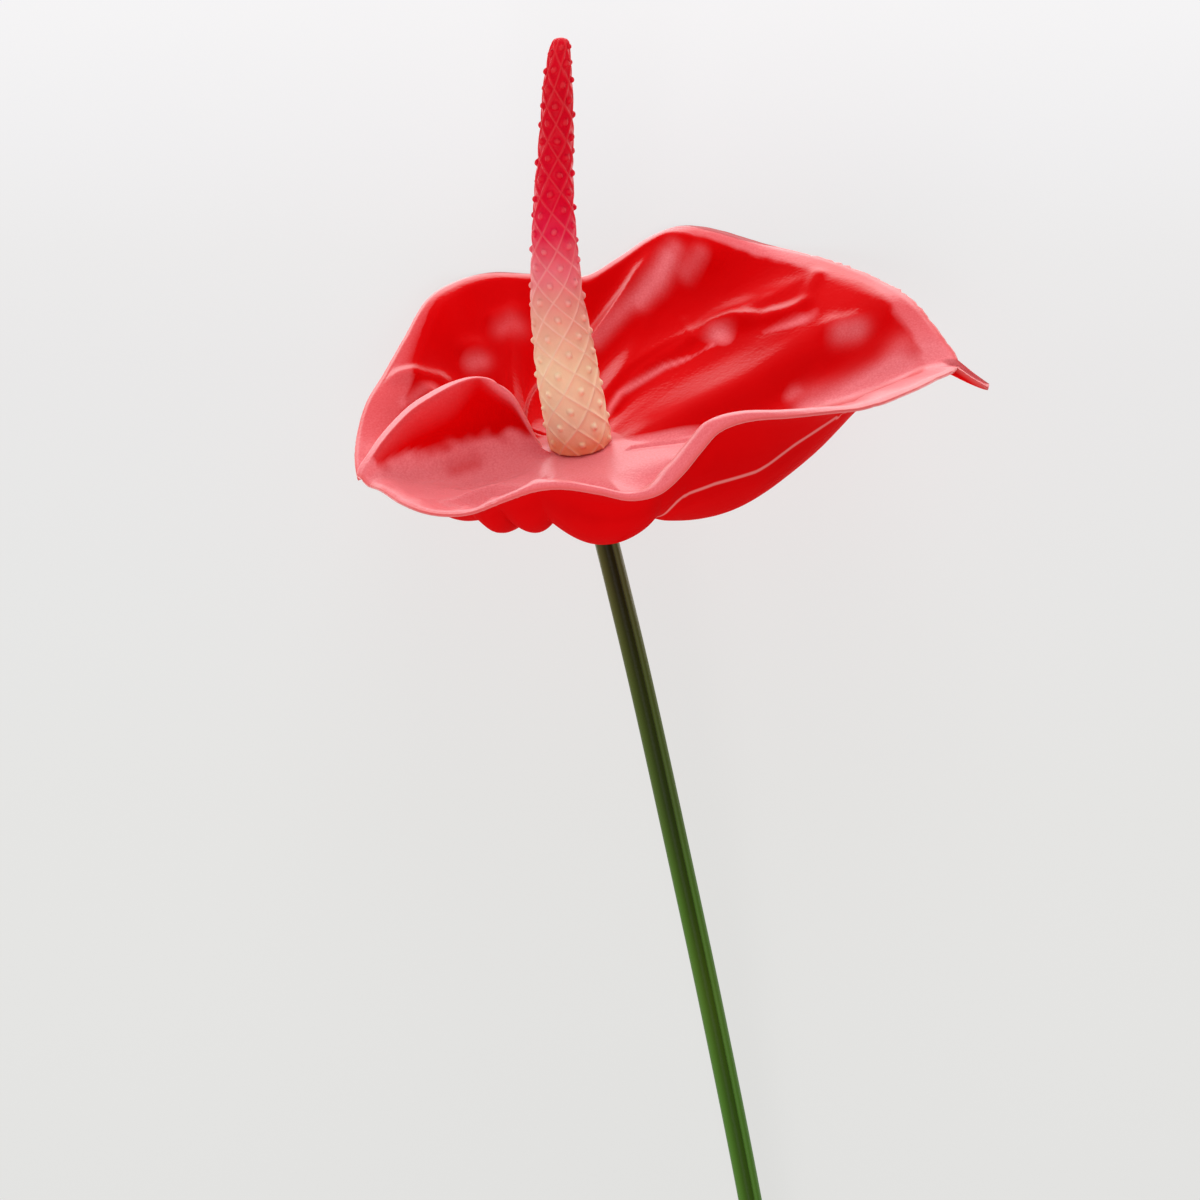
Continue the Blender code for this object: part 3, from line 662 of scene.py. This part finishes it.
def buildSpadix(material):
    # a skewed grid, wound so that its lines are the lines of the net
    climb = spadix["fallPitch"] + spadix["risePitch"]
    first = Vector((spadix["fallPitch"] / spadix["fallStarts"] / climb, 0))
    first.y = spadix["risePitch"] * first.x
    second = Vector((-spadix["risePitch"] / spadix["riseStarts"] / climb, 0))
    second.y = -spadix["fallPitch"] * second.x
    stops = spadix["stops"]
    parts = len(stops)
    columns, rows = spadix["fallStarts"] * parts, spadix["meshes"] * parts
    bm, places, (along, raised) = gridOf(columns, rows, ("heightShare", "raised"))
    for vert, (i, j) in places.items():
        u, v = stops[i % parts], stops[j % parts]
        turn, height = first * (i // parts + u) + second * (spadix["firstMesh"] + j // parts + v)
        # distances in mm on the unrolled skin, to the lines and to the middle of the mesh
        girth = math.tau * smoothTable(spadix["spine"], height, 2)
        one = Vector((first.x * girth, first.y))
        two = Vector((second.x * girth, second.y))
        area = abs(one.x * two.y - one.y * two.x)
        toLine = min(min(u, 1 - u) * area / two.length, min(v, 1 - v) * area / one.length)
        toDot = (one * (u - 0.5) + two * (v - 0.5)).length / spadix["dotRadius"]
        line = bump(toLine, spadix["lineWidth"])
        dot = math.sqrt(max(0.0, 1 - toDot ** 2)) if toDot < 1 else 0.0
        wave = spadix["wobbleTurns"] * turn + height / spadix["fallPitch"]
        height += spadix["wobble"] * math.sin(math.tau * wave)
        point, out = spadixPoint(turn, height)
        vert.co = point + out * (spadix["lineHeight"] * line + spadix["dotHeight"] * dot) * mm
        vert[along] = height / spadix["tipCut"]
        vert[raised] = max(line, dot)
    bmesh.ops.remove_doubles(bm, verts=bm.verts, dist=cuts["weld"] * mm)
    cutFlat(bm, spadixFoot, -toFace)
    cap = cutFlat(bm, spadixFoot + spadixUp * spadix["tipCut"] * mm, spadixUp)
    for size, rise in spadix["tipSteps"]:
        cap = bmesh.ops.extrude_discrete_faces(bm, faces=cap)["faces"]
        middle = cap[0].calc_center_median()
        for vert in cap[0].verts:
            vert.co = middle + (vert.co - middle) * size + spadixUp * rise * mm
            vert[along] = 1.0
    bmesh.ops.poke(bm, faces=cap)
    bmesh.ops.recalc_face_normals(bm, faces=bm.faces)
    return makePiece(bm, "spadix_net", material, "spadix")


def paintedSpadix():
    # soft moulded polyurethane, airbrushed: cream foot, salmon middle, crimson tip
    material, tree, shader = startMaterial("moulded polyurethane, airbrushed cream to crimson")
    coords = addNode(tree, "ShaderNodeTexCoord")
    place = {"Vector": (coords, "Object")}
    share = addNode(tree, "ShaderNodeAttribute", {"attribute_name": "heightShare"})
    cloud = addNode(tree, "ShaderNodeTexNoise", {"Scale": perMetre(3.846), "Detail": 3.0}, place)
    drift = addNode(
        tree, "ShaderNodeMapRange", {"To Min": -0.035, "To Max": 0.035}, {"Value": (cloud, "Fac")},
    )
    sprayed = addNode(
        tree, "ShaderNodeMath", {"operation": "ADD"}, {0: (share, "Fac"), 1: (drift, "Result")},
    )
    fade = addNode(tree, "ShaderNodeValToRGB", None, {"Fac": (sprayed, "Value")})
    rampStops(fade, (
        (0.0, "f6b484"), (0.05, "fcdcb8"), (0.09, "fae0ba"), (0.14, "f8dcb6"), (0.2, "eed0aa"),
        (0.28, "e2aa90"), (0.37, "dc867c"), (0.44, "e06a74"), (0.53, "d8183e"), (0.61, "d30428"),
        (0.73, "cf0220"), (0.86, "cc021c"), (1.0, "d80820"),
    ))
    # net and dots are paler than the skin between them, most of all below
    raised = addNode(tree, "ShaderNodeAttribute", {"attribute_name": "raised"})
    paleness = addNode(
        tree, "ShaderNodeMapRange", {"From Min": 0.3, "To Max": 0.28}, {"Value": (raised, "Fac")},
    )
    lower = addNode(
        tree, "ShaderNodeMapRange", {"From Min": 0.3, "From Max": 0.6, "To Min": 1.0, "To Max": 0.12},
        {"Value": (share, "Fac")},
    )
    paleShare = addNode(
        tree, "ShaderNodeMath", {"operation": "MULTIPLY"}, {0: (paleness, "Result"), 1: (lower, "Result")},
    )
    colour = addNode(
        tree, "ShaderNodeMix", {"data_type": "RGBA", 7: srgb("f6d2c4")},
        {"Factor": (paleShare, "Value"), 6: (fade, "Color")},
    )
    tree.links.new(colour.outputs[2], shader.inputs["Base Color"])
    grain = addNode(tree, "ShaderNodeTexNoise", {"Scale": perMetre(0.4545), "Detail": 2.0}, place)
    press = addNode(
        tree, "ShaderNodeBump", {"Strength": 0.25, "Distance": 0.2 * mm}, {"Height": (grain, "Fac")},
    )
    tree.links.new(press.outputs["Normal"], shader.inputs["Normal"])
    shader.inputs["Roughness"].default_value = 0.42
    shader.inputs["IOR"].default_value = 1.48
    shader.inputs["Specular IOR Level"].default_value = 0.06
    shader.inputs["Subsurface Weight"].default_value = 0.05
    shader.inputs["Subsurface Radius"].default_value = (4 * mm, 1.5 * mm, 1 * mm)
    return material


buildSpadix(paintedSpadix())
print("spadix ready")


# Stem, in mm and degrees

stem = {
    # distance down the picture, sideways position
    "path": (
        (-6.0, -0.5), (1.6, 1.4), (18.2, 5.8), (45.8, 12.5), (82.7, 20.7), (113.8, 27.4),
        (151.5, 35.0), (240.0, 51.5), (336.0, 68.4), (342.0, 69.5),
    ),
    "length": 336.0,
    "radius": 2.45,
    "thin": 0.15,  # how much thinner it is at the cut
    "sag": 1.6,  # power of its curve down to the table
    "sheenAndShade": 96, "rings": 260,
    "groove": 30.0, "grooveDepth": 0.35, "grooveWidth": 9.0,
    "flutes": 7, "flute": 0.035, "fluteTurn": 0.6,
    "cutSlant": 12.0,
}


def stemCentre(t):
    # middle of the stem at a distance down the picture
    drop = pose["base"][2] - stem["radius"] + stem["thin"]
    left = max(1 - t / stem["length"], 0)
    across = smoothTable(stem["path"], t, 1)
    return base + Vector((across, -t, -drop * (1 - left ** stem["sag"]))) * mm


def buildStem(material):
    # a tube round the curve, with its groove and light flutes
    bm, places, (along, around) = gridOf(stem["sheenAndShade"], stem["rings"], ("lengthShare", "roundStem"))
    start = stem["path"][0][0]
    span = stem["path"][-1][0] - start
    rings = []
    for j in range(stem["rings"] + 1):
        t = start + span * j / stem["rings"]
        heading = (stemCentre(t + 1) - stemCentre(t - 1)).normalized()
        right = Vector((0, 0, 1)).cross(heading).normalized()
        rings.append((t, stemCentre(t), right, heading.cross(right)))
    for vert, (i, j) in places.items():
        t, centre, right, top = rings[j]
        degrees = 360 * i / stem["sheenAndShade"]
        angle = math.radians(degrees)
        radius = stem["radius"] - stem["thin"] * j / stem["rings"]
        radius -= stem["grooveDepth"] * bump(degrees - stem["groove"], stem["grooveWidth"])
        radius += stem["flute"] * math.cos(stem["flutes"] * angle + stem["fluteTurn"])
        vert.co = centre + (right * math.sin(angle) + top * math.cos(angle)) * radius * mm
        vert[along] = t / stem["length"]
        vert[around] = ((degrees + 180) % 360 - 180) / 180
    bmesh.ops.remove_doubles(bm, verts=bm.verts, dist=cuts["weld"] * mm)
    cutFlat(bm, base - toFace * (spathe["sheet"] / 2 + spadix["gap"]) * mm, toFace)
    end = stemCentre(stem["length"])
    slant = Matrix.Rotation(math.radians(stem["cutSlant"]), 3, "Z")
    cutFlat(bm, end, slant @ (end - stemCentre(stem["length"] - 1)).normalized())
    bmesh.ops.recalc_face_normals(bm, faces=bm.faces)
    return makePiece(bm, "stem_tube", material, "stem")


def extrudedStemGreen():
    # extruded polyethylene over wire: satin, fine lengthwise drag lines, brown-green by the flower, with a
    # painted sheen on both flanks and a painted shade line beside the groove
    material, tree, shader = startMaterial("extruded polyethylene, satin green")
    coords = addNode(tree, "ShaderNodeTexCoord")
    along = addNode(tree, "ShaderNodeAttribute", {"attribute_name": "lengthShare"})
    around = addNode(tree, "ShaderNodeAttribute", {"attribute_name": "roundStem"})
    core = addNode(tree, "ShaderNodeValToRGB", None, {"Fac": (along, "Fac")})
    rampStops(core, (
        (0.0, "1b1500"), (0.08, "1c1600"), (0.15, "252b06"), (0.21, "243008"), (0.27, "2b3c07"),
        (0.33, "344808"), (0.39, "2c440a"), (1.0, "30480e"),
    ))
    flankSheen = addNode(tree, "ShaderNodeValToRGB", None, {"Fac": (along, "Fac")})
    rampStops(flankSheen, (
        (0.0, "5c5a36"), (0.08, "5e5f34"), (0.15, "56652e"), (0.21, "587032"), (0.27, "588030"),
        (0.33, "5c8234"), (0.39, "588432"), (1.0, "5a8634"),
    ))
    # share of the flanks' painted sheen colour, from the back over the top to the back again, dark where a
    # painted shade line lies beside the groove
    turned = addNode(tree, "ShaderNodeMapRange", {"From Min": -1.0}, {"Value": (around, "Fac")})
    sheenAndShade = addNode(tree, "ShaderNodeValToRGB", None, {"Fac": (turned, "Result")})
    rampStops(sheenAndShade, (
        (0.25, "ffffff"), (0.36, "d8d8d8"), (0.41, "a8a8a8"), (0.455, "606060"), (0.49, "202020"),
        (0.53, "303030"), (0.555, "101010"), (0.575, "c8c8c8"), (0.625, "b8b8b8"), (0.7, "ffffff"),
    ))
    colour = addNode(
        tree, "ShaderNodeMix", {"data_type": "RGBA"},
        {"Factor": (sheenAndShade, "Color"), 6: (core, "Color"), 7: (flankSheen, "Color")},
    )
    tree.links.new(colour.outputs[2], shader.inputs["Base Color"])
    drag = addNode(
        tree, "ShaderNodeTexNoise", {"Scale": perMetre(0.6667), "Detail": 2.0},
        {"Vector": (coords, "Object")},
    )
    press = addNode(
        tree, "ShaderNodeBump", {"Strength": 0.3, "Distance": 0.2 * mm}, {"Height": (drag, "Fac")},
    )
    tree.links.new(press.outputs["Normal"], shader.inputs["Normal"])
    shader.inputs["Roughness"].default_value = 0.42
    shader.inputs["IOR"].default_value = 1.5
    shader.inputs["Specular IOR Level"].default_value = 0.06
    return material


buildStem(extrudedStemGreen())
print("stem ready")


# Floor, light and camera

studio = {
    "floorSize": 6.0,
    # paper tone by place down the picture: place in mm from the frame's origin, tone
    "paperTone": (
        (-30.0, "e1e1df"), (12.0, "e3e3e1"), (58.0, "e4e4e2"), (105.0, "e6e6e5"), (151.0, "e9e8e8"),
        (174.0, "ecebeb"), (197.0, "f1f0f1"), (226.0, "f7f6f7"),
    ),
    "paperMottle": 5.0, "mottleSize": 111.1,  # how far the mottle moves the tone, and its size, mm
    "paperBody": "585858",
    "tableGlow": 0.86,  # the paper lies on a light table, so it takes hardly any shadow
    "air": "f4f3f2", "airStrength": 0.42,
    # place in mm from the flower's base, size in mm, power in watts, tilt about x in degrees
    "panels": {
        "front softbox": ((-150, -600, 1100), (700, 700), 10.0, None),
        "key softbox": ((60, 1300, 520), (700, 700), 8.0, None),
        # this one lies just above the paper and shines up
        "low back panel": ((0, 190, 1.5 - pose["base"][2]), (600, 440), 1.3, 180.0),
    },
    # camera height above the flower's base, width of the frame there, place of its middle, mm
    "cameraHeight": 800.0, "frameWidth": 240.0, "frameShift": (4.4, -29.6),
    "sensor": 36.0,
    "farthest": 20.0,  # metres
}


def paperFloor():
    # seamless studio paper: pale, matt, lighter toward the top, with a faint mottle
    material, tree, shader = startMaterial("seamless studio paper")
    coords = addNode(tree, "ShaderNodeTexCoord")
    mottle = addNode(
        tree, "ShaderNodeTexNoise", {"Scale": perMetre(studio["mottleSize"]), "Detail": 4.0},
        {"Vector": (coords, "Object")},
    )
    axes = addNode(tree, "ShaderNodeSeparateXYZ", None, {"Vector": (coords, "Object")})
    down = addNode(
        tree, "ShaderNodeMath", {"operation": "MULTIPLY_ADD", 1: studio["paperMottle"] * mm},
        {0: (mottle, "Fac"), 2: (axes, "Y")},
    )
    start, end = studio["paperTone"][0][0], studio["paperTone"][-1][0]
    place = addNode(
        tree, "ShaderNodeMapRange", {"From Min": start * mm, "From Max": end * mm},
        {"Value": (down, "Value")},
    )
    tone = addNode(tree, "ShaderNodeValToRGB", None, {"Fac": (place, "Result")})
    rampStops(tone, [((y - start) / (end - start), code) for y, code in studio["paperTone"]])
    shader.inputs["Base Color"].default_value = srgb(studio["paperBody"])
    tree.links.new(tone.outputs["Color"], shader.inputs["Emission Color"])
    shader.inputs["Emission Strength"].default_value = studio["tableGlow"]
    shader.inputs["Roughness"].default_value = 0.85
    return material


floorMesh = bmesh.new()
bmesh.ops.create_grid(floorMesh, x_segments=2, y_segments=2, size=studio["floorSize"] / 2)
floorData = bpy.data.meshes.new("paper_floor")
floorMesh.to_mesh(floorData)
floorMesh.free()
floorData.materials.append(paperFloor())
floor = bpy.data.objects.new("paper_floor", floorData)
scene.collection.objects.link(floor)

world = bpy.data.worlds.new("studio air")
world.use_nodes = True
air = world.node_tree.nodes["Background"]
air.inputs["Color"].default_value = srgb(studio["air"])
air.inputs["Strength"].default_value = studio["airStrength"]
scene.world = world

for name, (place, size, power, flip) in studio["panels"].items():
    panel = bpy.data.lights.new(name, "AREA")
    panel.shape = "RECTANGLE"
    panel.size, panel.size_y = size[0] * mm, size[1] * mm
    panel.energy = power
    lamp = bpy.data.objects.new(name, panel)
    scene.collection.objects.link(lamp)
    lamp.location = base + Vector(place) * mm
    lamp.visible_camera = False
    lamp.rotation_mode = "QUATERNION"
    if flip is None:
        lamp.rotation_quaternion = (base - lamp.location).to_track_quat("-Z", "Y")
    else:
        lamp.rotation_quaternion = Matrix.Rotation(math.radians(flip), 3, "X").to_quaternion()

camera = bpy.data.objects.new("camera", bpy.data.cameras.new("camera"))
camera.data.sensor_width = studio["sensor"]
camera.data.lens = studio["sensor"] * studio["cameraHeight"] / studio["frameWidth"]
camera.data.clip_end = studio["farthest"]
camera.location = base + Vector((*studio["frameShift"], studio["cameraHeight"])) * mm
scene.collection.objects.link(camera)
scene.camera = camera
print("studio ready")
